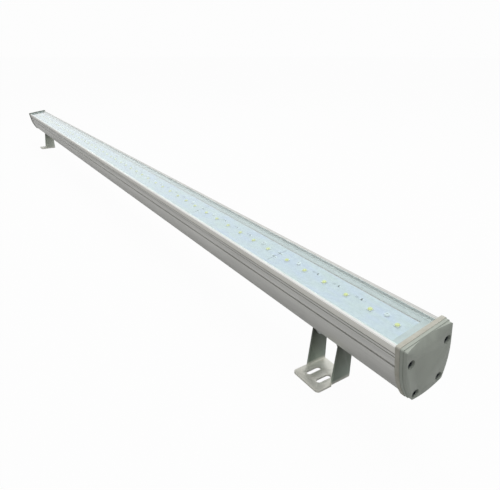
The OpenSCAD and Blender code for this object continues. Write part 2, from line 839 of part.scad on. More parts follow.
module bracket(x) {
    half = foot_l / 2;
    arm_front = head_r - arm_foot_w;
    color("lightgray") on_bracket(x) difference() {
        union() {
            intersection() {
                translate([0, head_r, 0]) rotate([90, 0, 0]) linear_extrude(arm_foot_w) fold_outline();
                along(-half, foot_l) arm_outline();
            }
            translate([0, 0, -pivot_h]) linear_extrude(sheet_t) intersection() {
                foot_outline();
                union() {
                    translate([-half, arm_front - foot_d]) square([foot_l, foot_d]);
                    translate([fold_r - half, arm_front - over]) square([foot_l - 2 * fold_r, foot_d]);
                }
            }
        }
        rod(-half - over, foot_l + 2 * over, bolt_d + 2 * run_gap);
        for (s = [-1, 1])
            translate([s * fix_slot_pitch / 2, head_r - fix_slot_back, -pivot_h - over])
                linear_extrude(sheet_t + 2 * over) {
                    straight = fix_slot_l - fix_slot_w;
                    translate([-fix_slot_w / 2, -straight / 2]) square([fix_slot_w, straight]);
                    for (e = [-1, 1]) translate([0, e * straight / 2]) circle(d = fix_slot_w);
                }
    }
}

module pivot_bolt(x) {
    under_head = foot_l / 2 + washer_t;
    tip = -under_head - bolt_nut_h - bolt_tail;
    color("silver") on_bracket(x) {
        rod(tip, under_head - tip, bolt_d);
        hex_rod(under_head, bolt_head_h, hex_w);
    }
}

module pivot_washers(x) {
    color("silver") on_bracket(x)
        for (s = [0, 1]) mirror([s, 0, 0]) difference() {
            rod(foot_l / 2, washer_t, washer_d);
            rod(foot_l / 2 - over, washer_t + 2 * over, bolt_d + 2 * run_gap);
        }
}

module pivot_nut(x) {
    outer = -foot_l / 2 - washer_t - bolt_nut_h;
    color("silver") on_bracket(x) difference() {
        hex_rod(outer, bolt_nut_h, hex_w);
        rod(outer - over, bolt_nut_h + 2 * over, bolt_d + 2 * run_gap);
    }
}

housing();
glass_cover();
glass_seal();
light_boards(0);  // light_boards_far
light_boards(1);  // light_boards_middle
light_boards(2);  // light_boards_near
lights(0);  // lights_far
lights(1);  // lights_middle
lights(2);  // lights_near
heat_pads();
board_screws();
board_resistors();
board_links();
feed_wires();
color("white") at_near() end_dam();  // near_end_dam
color("white") at_far() end_dam();  // far_end_dam
color("darkkhaki") at_near() gasket(0);  // near_gasket
color("darkkhaki") at_far() gasket(lock_room_d);  // far_gasket
color("darkgray") at_near() end_cap(0);  // near_end_cap
color("darkgray") at_far() end_cap(gland_d);  // far_end_cap
color("dimgray") at_near() cap_screws();  // near_cap_screws
color("dimgray") at_far() cap_screws();  // far_cap_screws
driver_tray();
driver_board();
driver_transformer();
driver_capacitors();
driver_choke();
supply_terminal();
gland_body();
gland_dome_nut();
gland_insert();
gland_washer();
gland_lock_nut();
nut_bar(near_bracket_x);  // near_nut_bar
nut_bar(far_bracket_x);  // far_nut_bar
hanger(near_bracket_x);  // near_hanger
hanger(far_bracket_x);  // far_hanger
hanger_screws(near_bracket_x);  // near_hanger_screws
hanger_screws(far_bracket_x);  // far_hanger_screws
bracket(near_bracket_x);  // near_bracket
bracket(far_bracket_x);  // far_bracket
pivot_bolt(near_bracket_x);  // near_pivot_bolt
pivot_bolt(far_bracket_x);  // far_pivot_bolt
pivot_washers(near_bracket_x);  // near_pivot_washers
pivot_washers(far_bracket_x);  // far_pivot_washers
pivot_nut(near_bracket_x);  // near_pivot_nut
pivot_nut(far_bracket_x);  // far_pivot_nut
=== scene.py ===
import json
import math

import bmesh
import bpy
from mathutils import Matrix, Vector


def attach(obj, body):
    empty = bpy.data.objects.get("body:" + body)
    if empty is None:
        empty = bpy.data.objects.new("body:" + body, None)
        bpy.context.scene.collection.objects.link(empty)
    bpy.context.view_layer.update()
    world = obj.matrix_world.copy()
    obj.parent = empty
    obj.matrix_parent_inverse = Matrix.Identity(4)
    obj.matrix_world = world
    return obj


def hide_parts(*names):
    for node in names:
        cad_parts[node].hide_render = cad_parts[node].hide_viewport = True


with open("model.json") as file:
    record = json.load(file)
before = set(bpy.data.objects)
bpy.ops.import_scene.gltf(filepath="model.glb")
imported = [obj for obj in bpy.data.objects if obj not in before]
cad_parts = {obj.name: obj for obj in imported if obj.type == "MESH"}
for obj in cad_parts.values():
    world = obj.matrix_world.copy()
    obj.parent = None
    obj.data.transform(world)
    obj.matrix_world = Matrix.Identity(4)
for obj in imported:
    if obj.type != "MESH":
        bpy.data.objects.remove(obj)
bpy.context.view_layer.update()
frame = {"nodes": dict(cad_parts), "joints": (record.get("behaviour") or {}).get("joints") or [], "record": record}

scene = bpy.context.scene
scene.view_settings.view_transform = "Standard"
mm = 0.001
least = 0.001  # the smallest distance that counts, in mm
print("frame loaded:", len(frame["nodes"]), "nodes")

# Places
# The bar leans forward on its pivots, so its pieces are modelled level
# and tilted about the pivot axis when they are mounted.
barTilt = math.radians(9)
bodies = frame["record"]["behaviour"]["bodies"]
slots = {part["node"]: part["material_slot"] for part in frame["record"]["subparts"]}
pivot = next(Vector(joint["pos_m"]) for joint in frame["joints"] if joint["name"] == "near_tilt")
upright = Matrix.Translation((0, pivot.y, pivot.z))
tilted = upright @ Matrix.Rotation(barTilt, 4, "X")


def turnedAbout(axis, degrees):
    return Matrix.Rotation(math.radians(degrees), 4, axis)


def bodyOf(node):
    return next(name for name, nodes in bodies.items() if node in nodes)


def placeOf(node):
    return upright if "foot" in bodyOf(node) else tilted


def solidsOf(node):
    # the box of each separate solid of a CAD node, with the bar level, from far to near
    shape = bmesh.new()
    shape.from_mesh(frame["nodes"][node].data)
    bmesh.ops.transform(shape, matrix=placeOf(node).inverted(), verts=shape.verts)
    bmesh.ops.remove_doubles(shape, verts=shape.verts, dist=least * mm)
    left = set(shape.verts)
    boxes = []
    while left:
        group = [left.pop()]
        for vert in group:
            for edge in vert.link_edges:
                other = edge.other_vert(vert)
                if other in left:
                    left.remove(other)
                    group.append(other)
        low = Vector([min(vert.co[i] for vert in group) for i in range(3)])
        high = Vector([max(vert.co[i] for vert in group) for i in range(3)])
        boxes.append((low, high))
    shape.free()
    return sorted(boxes, key=lambda box: tuple(box[0]))


def standsOf(node):
    # where each solid of a node stands: the middle of its underside
    stands = []
    for low, high in solidsOf(node):
        centre = (low + high) / 2
        stands.append(Matrix.Translation((centre.x, centre.y, low.z)))
    return stands


# Materials
noiseLow, noiseHigh = 0.3, 0.7  # noise lies mostly between these
white = "#FFFFFF"


def linearColour(hexText):
    # sRGB to linear
    channels = [int(hexText[i:i + 2], 16) / 255 for i in (1, 3, 5)]
    linear = [c / 12.92 if c <= 0.04045 else ((c + 0.055) / 1.055) ** 2.4 for c in channels]
    return (*linear, 1.0)


def addNode(tree, kind, settings=None, links=None):
    node = tree.nodes.new("ShaderNode" + kind)
    for name, value in (settings or {}).items():
        if name == "ramp":
            for place, colour in value[2:]:
                node.color_ramp.elements.new(place)
            for element, (place, colour) in zip(node.color_ramp.elements, value):
                element.position, element.color = place, linearColour(colour)
        elif isinstance(name, int) or name in node.inputs:
            node.inputs[name].default_value = value
        else:
            setattr(node, name, value)
    for name, socket in (links or {}).items():
        tree.links.new(socket, node.inputs[name])
    return node


def newMaterial(name):
    material = bpy.data.materials.new(name)
    material.use_nodes = True
    tree = material.node_tree
    tree.nodes.clear()
    return material, tree, addNode(tree, "TexCoord").outputs["Object"]


def noise(tree, place, size, detail, roughness=0.5):
    # features of this size in mm, or of three sizes along X, Y and Z
    sizes = size if isinstance(size, tuple) else (size, size, size)
    mapping = addNode(tree, "Mapping", {"Scale": [1 / (s * mm) for s in sizes]}, {"Vector": place})
    settings = {"Scale": 1.0, "Detail": detail, "Roughness": roughness}
    return addNode(tree, "TexNoise", settings, {"Vector": mapping.outputs[0]}).outputs["Fac"]


def ramp(tree, value, stops):
    return addNode(tree, "ValToRGB", {"ramp": stops}, {"Fac": value}).outputs["Color"]


def multiplied(tree, colour, shade):
    return addNode(tree, "Mix", {"data_type": "RGBA", "blend_type": "MULTIPLY", 0: 1.0},
                   {6: colour, 7: shade}).outputs[2]


def spread(tree, noisy, low, high):
    # turns the usual range of noise into low to high
    settings = {"From Min": noiseLow, "From Max": noiseHigh, "To Min": low, "To Max": high}
    return addNode(tree, "MapRange", settings, {"Value": noisy}).outputs[0]


def relief(tree, height, depth):
    settings = {"Strength": 1.0, "Distance": depth * mm}
    return addNode(tree, "Bump", settings, {"Height": height}).outputs[0]


def output(material, shader):
    addNode(material.node_tree, "OutputMaterial", links={"Surface": shader.outputs[0]})
    return material


def finished(material, colour, gloss, bumps, settings=None):
    links = {"Base Color": colour, "Roughness": gloss, "Normal": bumps}
    return output(material, addNode(material.node_tree, "BsdfPrincipled", settings, links))


def surface(name, look):
    # clouds vary the colour, and the grain varies the gloss and the relief
    material, tree, place = newMaterial(name)
    clouds = noise(tree, place, look["clouds"], detail=3.0, roughness=0.55)
    step = (noiseHigh - noiseLow) / (len(look["tones"]) - 1)
    stops = [(noiseLow + step * i, tone) for i, tone in enumerate(look["tones"])]
    colour = ramp(tree, clouds, stops)
    grain = noise(tree, place, look["grain"], detail=3.0, roughness=0.6)
    if "streaks" in look:
        # the grain also darkens the colour a little, as drawn lines do
        streaks = ramp(tree, grain, [(noiseLow, look["streaks"]), (noiseHigh, white)])
        colour = multiplied(tree, colour, streaks)
    if "tarnish" in look:
        # painted shade that deepens from one height to another
        low, high = look["tarnishHeights"]
        height = addNode(tree, "SeparateXYZ", links={"Vector": place}).outputs["Z"]
        settings = {"From Min": low * mm, "From Max": high * mm}
        height = addNode(tree, "MapRange", settings, {"Value": height}).outputs[0]
        colour = multiplied(tree, colour, ramp(tree, height, look["tarnish"]))
    gloss = spread(tree, grain, *look["gloss"])
    return finished(material, colour, gloss, relief(tree, grain, look["depth"]), look.get("shader"))


def clearGlass():
    # toughened float glass, with a trace of waviness; lamps shine through it without a shadow
    look = {"wave": 60, "depth": 0.003, "tint": "#F0FCFC", "passed": "#F9FDFE", "rough": 0.02,
            "ior": 1.52, "specular": 0.25}
    material, tree, place = newMaterial("floatGlassClear")
    waves = relief(tree, noise(tree, place, look["wave"], detail=1.0), look["depth"])
    shader = addNode(tree, "BsdfPrincipled",
                     {"Base Color": linearColour(look["tint"]), "Roughness": look["rough"],
                      "IOR": look["ior"], "Specular IOR Level": look["specular"],
                      "Transmission Weight": 1.0},
                     {"Normal": waves})
    ray = addNode(tree, "LightPath")
    passing = addNode(tree, "Math", {"operation": "MAXIMUM"},
                      {0: ray.outputs["Is Shadow Ray"], 1: ray.outputs["Is Diffuse Ray"]})
    clear = addNode(tree, "BsdfTransparent", {"Color": linearColour(look["passed"])})
    return output(material, addNode(tree, "MixShader", links={
        0: passing.outputs[0], 1: shader.outputs[0], 2: clear.outputs[0]}))


def solderMask():
    # circuit board under white lacquer, bluish or greenish where the copper lies under it
    look = {"patch": (26, 9, 9), "hues": [(0.34, "#D6D8E6"), (0.5, "#DADCE2"), (0.66, "#DADDDB")],
            "mottle": (3, 2.2, 2.2), "mottled": "#ECEEF0", "gloss": (0.36, 0.48), "depth": 0.01,
            "specular": 0.35, "laminate": "#B9B0AC", "lacquered": 11.3, "fade": 0.25}
    material, tree, place = newMaterial("whiteSolderMaskPrinted")
    patches = ramp(tree, noise(tree, place, look["patch"], detail=2.0), look["hues"])
    mottle = noise(tree, place, look["mottle"], detail=4.0, roughness=0.6)
    shade = ramp(tree, mottle, [(noiseLow, look["mottled"]), (noiseHigh, white)])
    colour = multiplied(tree, patches, shade)
    # the lacquer stops short of the back edge, and the laminate is bare there;
    # the distance is taken across the level bar
    shift = -(pivot.y * math.cos(barTilt) + pivot.z * math.sin(barTilt))
    across = addNode(tree, "Mapping", {"Rotation": (-barTilt, 0, 0), "Location": (0, shift, 0)},
                     {"Vector": place})
    across = addNode(tree, "SeparateXYZ", links={"Vector": across.outputs[0]})
    bare = addNode(tree, "MapRange", {"From Min": look["lacquered"] * mm,
                                      "From Max": (look["lacquered"] + look["fade"]) * mm},
                   {"Value": across.outputs["Y"]})
    colour = addNode(tree, "Mix", {"data_type": "RGBA", 7: linearColour(look["laminate"])},
                     {0: bare.outputs[0], 6: colour}).outputs[2]
    gloss = spread(tree, mottle, *look["gloss"])
    return finished(material, colour, gloss, relief(tree, mottle, look["depth"]),
                    {"Specular IOR Level": look["specular"]})


def woundTape():
    # polyester tape round the windings: glossy, with the edge of each turn showing
    look = {"turn": 4, "tones": ("#B98F14", "#D8B22C"), "gloss": (0.25, 0.4), "depth": 0.05}
    material, tree, place = newMaterial("polyesterTapeWound")
    across = addNode(tree, "Mapping", {"Scale": (1 / (look["turn"] * mm), 1, 1)}, {"Vector": place})
    wave = addNode(tree, "TexWave", {"Scale": 1.0, "Distortion": 0.5},
                   {"Vector": across.outputs[0]})
    bands = wave.outputs["Fac"]
    colour = ramp(tree, bands, list(zip((noiseLow, noiseHigh), look["tones"])))
    low, high = look["gloss"]
    gloss = addNode(tree, "MapRange", {"To Min": low, "To Max": high}, {"Value": bands}).outputs[0]
    return finished(material, colour, gloss, relief(tree, bands, look["depth"]))


# Kinds of finish: metals reflect, lacquer scatters light under a thin gloss, rubber hardly shines
metal = {"Metallic": 1.0}
satinMetal = {"Metallic": 0.8}
lacquer = {"Coat Weight": 0.1, "Coat Roughness": 0.3}
rubber = {"Specular IOR Level": 0.35}

# Looks that several finishes share; clouds, grain, depth and heights are in mm
# extruded and anodised: a soft sheen along the bar, with die lines drawn coarser than life to show
anodised = {"tones": ("#D3D3D0", "#DBDBD8"), "clouds": (45, 12, 12), "grain": (140, 0.8, 0.8),
            "streaks": "#F3F3F2", "gloss": (0.35, 0.43), "depth": 0.004, "shader": satinMetal}
# moulded silicone rubber: matt, faintly dusty
mouldedRubber = {"tones": ("#B2B0A4", "#B9B8AD", "#C0BEB4"), "clouds": 3, "grain": 0.5,
                 "gloss": (0.56, 0.72), "depth": 0.02, "shader": rubber}
# rolled and zinc plated sheet with faint rolling lines, bright at the foot and darkened up the arms by painted
# shade
rolledSheet = {"tones": ("#E4E5DC", "#ECECE3", "#F3F1E6"), "clouds": 16, "grain": (1.4, 60, 60),
               "gloss": (0.38, 0.5), "depth": 0.0005, "shader": {"Metallic": 0.55},
               "tarnishHeights": (1.5, 34),
               "tarnish": [(0, white), (0.1, "#A9B5B1"), (0.5, "#848C87"), (1, "#525651")]}

# One finish for each material slot of the record
paints = {
    "anodised_aluminium": surface("anodisedAluminiumExtruded", anodised),
    "clear_glass": clearGlass(),
    # sealant smoothed into the joint: milky, faintly glossy
    "clear_silicone": surface("siliconeSealantPale", {
        "tones": ("#E2E7E4", "#ECF0ED"), "clouds": 7, "grain": (20, 1.5, 1.5),
        "gloss": (0.34, 0.42), "depth": 0.002}),
    "white_board": solderMask(),
    # phosphor powder mixed into soft silicone: warm pale yellow, glossy, with a fine speckle
    "light_lens": surface("phosphorSiliconeYellow", {
        "tones": ("#E2E076", "#EEEB94", "#F5F3B0"), "clouds": 0.9, "grain": 0.3,
        "gloss": (0.12, 0.22), "depth": 0.004}),
    # heat pad: soft and dusty, filled with ceramic powder
    "grey_silicone": surface("siliconePadGrey", {
        "tones": ("#84888A", "#90949A"), "clouds": 3, "grain": 0.5,
        "gloss": (0.6, 0.75), "depth": 0.02, "shader": rubber}),
    # nylon screws: milky white and waxy
    "white_nylon": surface("polyamideWhiteMoulded", {
        "tones": ("#EDEFF0", "#F7F8F8"), "clouds": 2, "grain": 0.4,
        "gloss": (0.25, 0.38), "depth": 0.004}),
    # fired chip of a resistor: matt dark grey glass paste
    "black_ceramic": surface("ceramicBlack", {
        "tones": ("#54575B", "#65686C"), "clouds": 1, "grain": 0.3,
        "gloss": (0.4, 0.55), "depth": 0.006}),
    # solder drawn over copper: bright, with the slight ripple of metal that has set
    "tinned_copper": surface("solderTinned", {
        "tones": ("#F0F2F3", "#FAFBFB"), "clouds": 1, "grain": 0.7,
        "gloss": (0.24, 0.38), "depth": 0.01, "shader": {"Metallic": 0.3}}),
    # wire insulation: soft glossy vinyl
    "red_wire": surface("pvcInsulationRed", {
        "tones": ("#8C1D18", "#A02822"), "clouds": 7, "grain": 0.5,
        "gloss": (0.34, 0.46), "depth": 0.006}),
    # silicone poured over the boards' ends: pale, level and slightly glossy
    "white_silicone": surface("siliconePouredPale", {
        "tones": ("#BBC3C2", "#C5CCCB"), "clouds": 9, "grain": 1.6,
        "gloss": (0.3, 0.42), "depth": 0.03}),
    "gasket_rubber": surface("siliconeRubberGreyBeige", mouldedRubber),
    # die cast and powder coated: even, half matt, with a fine orange peel
    "painted_cap": surface("powderCoatGreyGreen", {
        "tones": ("#A1A79E", "#AAB0A6"), "clouds": 14, "grain": 0.7,
        "gloss": (0.37, 0.49), "depth": 0.02, "shader": lacquer}),
    # blackened steel screws: dark, with worn grey high spots
    "dark_steel": surface("blackenedSteel", {
        "tones": ("#50555A", "#62676B", "#767A7E"), "clouds": 1.2, "grain": 0.4,
        "gloss": (0.36, 0.48), "depth": 0.004, "shader": metal}),
    # moulded polycarbonate tray: even white, faint flow clouds
    "white_plastic": surface("polycarbonateWhite", {
        "tones": ("#D6D6D2", "#E0E0DC"), "clouds": 7, "grain": 0.35,
        "gloss": (0.36, 0.46), "depth": 0.01}),
    # glass fibre board under green lacquer, with the weave just showing
    "green_board": surface("fibreglassBoardGreen", {
        "tones": ("#1F5A38", "#28693F"), "clouds": 4, "grain": (1.2, 0.5, 0.5),
        "gloss": (0.25, 0.36), "depth": 0.008}),
    "yellow_tape": woundTape(),
    # shrunk sleeve of a capacitor: glossy dark blue film
    "capacitor_sleeve": surface("shrunkSleeveBlue", {
        "tones": ("#1A2340", "#222D50"), "clouds": 4, "grain": 1.5,
        "gloss": (0.2, 0.32), "depth": 0.01}),
    # terminal housing: even green, half matt
    "green_plastic": surface("polyamideGreenMoulded", {
        "tones": ("#2C7A40", "#348A4A"), "clouds": 7, "grain": 0.35,
        "gloss": (0.38, 0.5), "depth": 0.01}),
    # gland parts: glass-filled nylon with a spark-eroded skin
    "black_nylon": surface("polyamideBlackMoulded", {
        "tones": ("#1D1E1F", "#292B2C"), "clouds": 7, "grain": 0.4,
        "gloss": (0.38, 0.52), "depth": 0.02}),
    # gland insert and flat seal: matt black rubber
    "black_rubber": surface("neopreneBlack", {
        "tones": ("#161717", "#232424"), "clouds": 2.5, "grain": 0.5,
        "gloss": (0.6, 0.75), "depth": 0.02, "shader": rubber}),
    # pressed and zinc plated: bright bluish grey with cloudy patches
    "zinc_steel": surface("zincPlatedSteel", {
        "tones": ("#A3A8AA", "#B3B8BA", "#BEC2C2"), "clouds": 5, "grain": (1.2, 12, 12),
        "gloss": (0.28, 0.42), "depth": 0.002, "shader": metal}),
    # turned stainless bolts: clean and bright, with tiny tool marks
    "stainless_steel": surface("stainlessSteelTurned", {
        "tones": ("#ACACA8", "#BEBEBA"), "clouds": 2, "grain": 0.5,
        "gloss": (0.23, 0.36), "depth": 0.004, "shader": metal}),
    "bright_sheet": surface("brightSteelSheetRolled", rolledSheet),
}

# Finishes that have no slot of their own
extras = {
    # the far bracket: the same sheet, with lighter painted shade up its arms
    "sheetFresh": surface("brightSteelSheetFresh", {
        **rolledSheet,
        "tarnish": [(0, white), (0.1, "#D2D8D5"), (0.5, "#BCC2BF"), (1, "#8E9490")]}),
    # the far gasket: the near one's rubber, painted cooler and darker as painted shade
    "gasketCool": surface("siliconeRubberGreyCool", {
        **mouldedRubber, "tones": ("#8A908C", "#92978F", "#9A9E99")}),
    # the rim's top, painted lighter than the housing as a painted highlight
    "rimBright": surface("anodisedAluminiumRubbed", {
        "tones": ("#E4E4E1", "#ECECEA"), "clouds": (60, 4, 4), "grain": (90, 0.7, 0.7),
        "gloss": (0.26, 0.36), "depth": 0.003, "shader": satinMetal}),
    # the band between rim and first groove, painted lighter than the housing as painted light
    "bandHandled": surface("anodisedAluminiumHandled", {
        **anodised, "tones": ("#E8E7E1", "#F0EFE9"), "streaks": "#F6F6F5", "gloss": (0.34, 0.42)}),
    # the lower corners, darkened as painted shade
    "cornerGrey": surface("anodisedAluminiumWeathered", {
        "tones": ("#8E8F8B", "#9A9B97"), "clouds": (30, 3, 3), "grain": (90, 0.7, 0.7),
        "gloss": (0.5, 0.62), "depth": 0.003, "shader": {"Metallic": 0.5}}),
    # the flanks beside the boards, painted pale as painted light against the shade under the glass
    "flankClean": surface("anodisedAluminiumClean", {
        "tones": ("#F3F0EE", "#F8F5F3"), "clouds": (60, 6, 6), "grain": (140, 2.5, 2.5),
        "gloss": (0.46, 0.5), "depth": 0.0005, "shader": {"Metallic": 0.35}}),
    # the ground edge of the pane: white and frosted, greenish in depth
    "groundEdge": surface("floatGlassGroundEdge", {
        "tones": ("#E9F0EE", "#F3F8F6"), "clouds": 7, "grain": (20, 0.8, 0.8),
        "gloss": (0.42, 0.52), "depth": 0.001}),
    # fired ceramic body of a light
    "ceramicWhite": surface("ceramicWhiteFired", {
        "tones": ("#E4E6E2", "#F0F1ED"), "clouds": 1, "grain": 0.3,
        "gloss": (0.3, 0.42), "depth": 0.003}),
    # epoxy ink on the lacquer
    "printInk": surface("epoxyInkGrey", {
        "tones": ("#8A9096", "#A0A6AA"), "clouds": 0.8, "grain": 0.3,
        "gloss": (0.4, 0.55), "depth": 0.003}),
    # copper strap under the solder, dipped in tin: duller than the beads
    "strapTin": surface("copperStrapTinned", {
        "tones": ("#B4B6B8", "#C6C8C9"), "clouds": 1, "grain": 0.6,
        "gloss": (0.3, 0.45), "depth": 0.01, "shader": satinMetal}),
    # nylon ring of a self-locking nut
    "ringBlue": surface("polyamideBlueRing", {
        "tones": ("#35557E", "#40628C"), "clouds": 2, "grain": 0.4,
        "gloss": (0.35, 0.5), "depth": 0.006}),
    # bare top of a capacitor's can
    "canTop": surface("aluminiumPressed", {
        "tones": ("#BDBFC0", "#CDCFCF"), "clouds": 2, "grain": 0.6,
        "gloss": (0.3, 0.45), "depth": 0.004, "shader": metal}),
    # pressed and fired core: dark grey, matt, faintly grainy
    "ferrite": surface("ferriteSintered", {
        "tones": ("#2B2C2E", "#3A3B3D"), "clouds": 3, "grain": 0.5,
        "gloss": (0.5, 0.66), "depth": 0.02}),
    # winding wire under clear enamel
    "enamelWire": surface("copperWireEnamelled", {
        "tones": ("#8A4A22", "#A45C2C"), "clouds": 2, "grain": 0.4,
        "gloss": (0.22, 0.34), "depth": 0.004, "shader": metal}),
}
print("materials ready:", len(paints) + len(extras))


# Modelling: sizes are in mm, and places are matrices
past = 1  # how far a cutter stands past what it cuts, in mm
spare = 0.02  # how far a turning clears the corners that it leaves whole, in mm
facingUp = 0.9  # a face looks up when its normal rises more than this
sharp = math.radians(30)  # edges that turn more than this are broken
flat = math.radians(0.3)  # faces that turn less than this are merged
crest = (0.45, 0.55)  # where a thread's crest starts and ends, as shares of its pitch


def workOn(piece):
    bpy.ops.object.select_all(action="DESELECT")
    piece.select_set(True)
    bpy.context.view_layer.objects.active = piece


def pick(piece, test):
    # edit mode with only the faces that pass the test selected
    workOn(piece)
    bpy.ops.object.mode_set(mode="EDIT")
    bpy.ops.mesh.select_mode(type="FACE")
    bpy.ops.mesh.select_all(action="DESELECT")
    shape = bmesh.from_edit_mesh(piece.data)
    for face in shape.faces:
        if test(face):
            face.select_set(True)
    bmesh.update_edit_mesh(piece.data)


def modify(piece, kind, **settings):
    workOn(piece)
    modifier = piece.modifiers.new(kind, kind)
    for name, value in settings.items():
        setattr(modifier, name, value)
    bpy.ops.object.modifier_apply(modifier=modifier.name)
    return piece


def softEdges(piece, width, segments=2):
    return modify(piece, "BEVEL", width=width * mm, segments=segments, limit_method="ANGLE",
                  angle_limit=sharp, miter_outer="MITER_ARC")


def smooth(piece, angle=35):
    workOn(piece)
    bpy.ops.object.shade_smooth_by_angle(angle=math.radians(angle))
    return piece


def paint(piece, *materials):
    piece.data.materials.clear()
    for material in materials:
        piece.data.materials.append(material)
    return piece


def move(piece, matrix):
    piece.data.transform(matrix)
    piece.data.update()
    return piece


def turned(name, steps, sides=32):
    # a closed turned solid about Z: one disc, drawn out and resized at each (height, radius)
    start, radius = steps[0]
    bpy.ops.mesh.primitive_circle_add(vertices=sides, radius=radius * mm, fill_type="NGON",
                                      location=(0, 0, start * mm))
    piece = bpy.context.object
    piece.name = name
    bpy.ops.object.transform_apply(location=True, rotation=True, scale=True)
    bpy.ops.object.mode_set(mode="EDIT")
    bpy.ops.mesh.select_all(action="SELECT")
    for height, wide in steps[1:]:
        rise, grow = (height - start) * mm, wide / radius
        bpy.ops.mesh.extrude_region_move(TRANSFORM_OT_translate={"value": (0, 0, rise)})
        bpy.ops.transform.resize(value=(grow, grow, 1), center_override=(0, 0, height * mm))
        start, radius = height, wide
    bpy.ops.mesh.select_all(action="SELECT")
    bpy.ops.mesh.normals_make_consistent(inside=False)
    bpy.ops.object.mode_set(mode="OBJECT")
    return piece


def pin(low, high, radius, sides=32):
    # a plain cylinder about Z, mostly used as a cutter
    return turned("pin", [(low, radius), (high, radius)], sides)


def block(name, size, centre, edge=0.0, segments=1):
    bpy.ops.mesh.primitive_cube_add(size=1, location=[c * mm for c in centre],
                                    scale=[s * mm for s in size])
    piece = bpy.context.object
    piece.name = name
    bpy.ops.object.transform_apply(location=True, rotation=True, scale=True)
    return softEdges(piece, edge, segments) if edge else piece


def combine(piece, other, how="DIFFERENCE"):
    modify(piece, "BOOLEAN", operation=how, object=other, solver="EXACT")
    bpy.data.objects.remove(other)
    return piece


def join(parts):
    workOn(parts[0])
    for part in parts:
        part.select_set(True)
    if len(parts) > 1:
        bpy.ops.object.join()
    return parts[0]


def repeat(master, places):
    # copies of one modelled piece, each with its own mesh, joined into one piece
    copies = []
    for place in places:
        copy = bpy.data.objects.new(master.name, master.data.copy())
        scene.collection.objects.link(copy)
        copies.append(move(copy, place))
    bpy.data.objects.remove(master)
    return join(copies)


def domed(low, rise, radius, angles):
    # steps up a dome, at these angles from its foot
    arc = [math.radians(a) for a in angles]
    return [(low + rise * math.sin(a), radius * math.cos(a)) for a in arc]


def threaded(low, high, radius, pitch, depth):
    # steps of rings at the thread's pitch
    steps = [(low, radius - depth)]
    height = low
    while height + pitch <= high:
        steps += [(height + pitch * share, radius) for share in crest]
        steps += [(height + pitch, radius - depth)]
        height += pitch
    return steps


def hexagon(name, across, low, high, chamfer, bothEnds=False):
    # a hexagon bar about Z whose corners are turned off at the top, or at both ends
    corner = across / 2 / math.cos(math.radians(30))
    clear, narrow = corner + spare, corner - chamfer * 2
    piece = move(turned(name, [(low, corner), (high, corner)], sides=6), turnedAbout("Z", 30))
    steps = [(low, narrow), (low + chamfer, clear)] if bothEnds else [(low - past, corner + past)]
    steps += [(high - chamfer, clear), (high, narrow)]
    return combine(piece, turned("turning", steps, sides=48), "INTERSECT")


def pieceName(node, ending=""):
    first, *rest = node.split("_")
    return first + "".join(word.title() for word in rest) + ending


def assign(piece, node, name, replaces=True):
    # name a piece and put it on its node's body; the node is hidden if the piece replaces it
    piece.name = name
    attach(piece, bodyOf(node))
    if replaces:
        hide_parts(node)
    return piece


def mount(piece, node, extraName=None):
    # put a level piece where its node is; it stands for the node unless it is an extra piece
    move(piece, placeOf(node))
    if not piece.data.materials:
        paint(piece, paints[slots[node]])
    return assign(piece, node, extraName or pieceName(node), not extraName)


def rounded(node, width):
    # the CAD shape again, with flat faces merged and sharp edges broken as on the made piece
    piece = bpy.data.objects.new(node, frame["nodes"][node].data.copy())
    scene.collection.objects.link(piece)
    workOn(piece)
    bpy.ops.object.mode_set(mode="EDIT")
    bpy.ops.mesh.select_all(action="SELECT")
    bpy.ops.mesh.remove_doubles(threshold=least * mm)
    bpy.ops.mesh.dissolve_limited(angle_limit=flat)
    bpy.ops.object.mode_set(mode="OBJECT")
    bpy.ops.mesh.customdata_custom_splitnormals_clear()
    return assign(smooth(softEdges(piece, width)), node, pieceName(node, "Formed"))


# the CAD pieces that stay are seen as they are, in the finish of their slot
for node, piece in frame["nodes"].items():
    paint(piece, paints[slots[node]])

# Camera
camera = {"place": (0.7203, -0.1940, 0.2221), "looks": (-0.766, 0.5045, -0.398),
          "up": (-0.334, 0.217, 0.917), "lens": 31.78, "sensor": 36, "clip": 0.01}
forward = Vector(camera["looks"]).normalized()
right = forward.cross(Vector(camera["up"])).normalized()
upward = right.cross(forward)
eye = bpy.data.objects.new("camera", bpy.data.cameras.new("camera"))
scene.collection.objects.link(eye)
aim = Matrix((right, upward, -forward)).transposed().to_4x4()
eye.matrix_world = Matrix.Translation(camera["place"]) @ aim
eye.data.lens, eye.data.sensor_width = camera["lens"], camera["sensor"]
eye.data.clip_start = camera["clip"]
scene.camera = eye

# Floor, world and lamp
stage = {"size": 60, "paper": "#B4B4B3", "cameraWhite": 0.97, "mirrorWhite": 0.16, "skyFill": 0.38}
softbox = {"place": (0.1, 0.25, 1.5), "target": (0.0, 0.0, 0.05), "long": 2.4, "wide": 1.0,
           "power": 24}


def whiteFor(tree, other):
    # how white the surroundings look to the camera, and to what metal and glass show of them
    ray = addNode(tree, "LightPath").outputs
    shown = addNode(tree, "Math", {"operation": "MAXIMUM"},
                    {0: ray["Is Glossy Ray"], 1: ray["Is Transmission Ray"]})
    shown = addNode(tree, "Math", {"operation": "MULTIPLY", 1: other}, {0: shown.outputs[0]})
    seen = addNode(tree, "Math", {"operation": "MULTIPLY", 1: stage["cameraWhite"]},
                   {0: ray["Is Camera Ray"]})
    return addNode(tree, "Math", {"operation": "MAXIMUM"},
                   {0: shown.outputs[0], 1: seen.outputs[0]}).outputs[0]


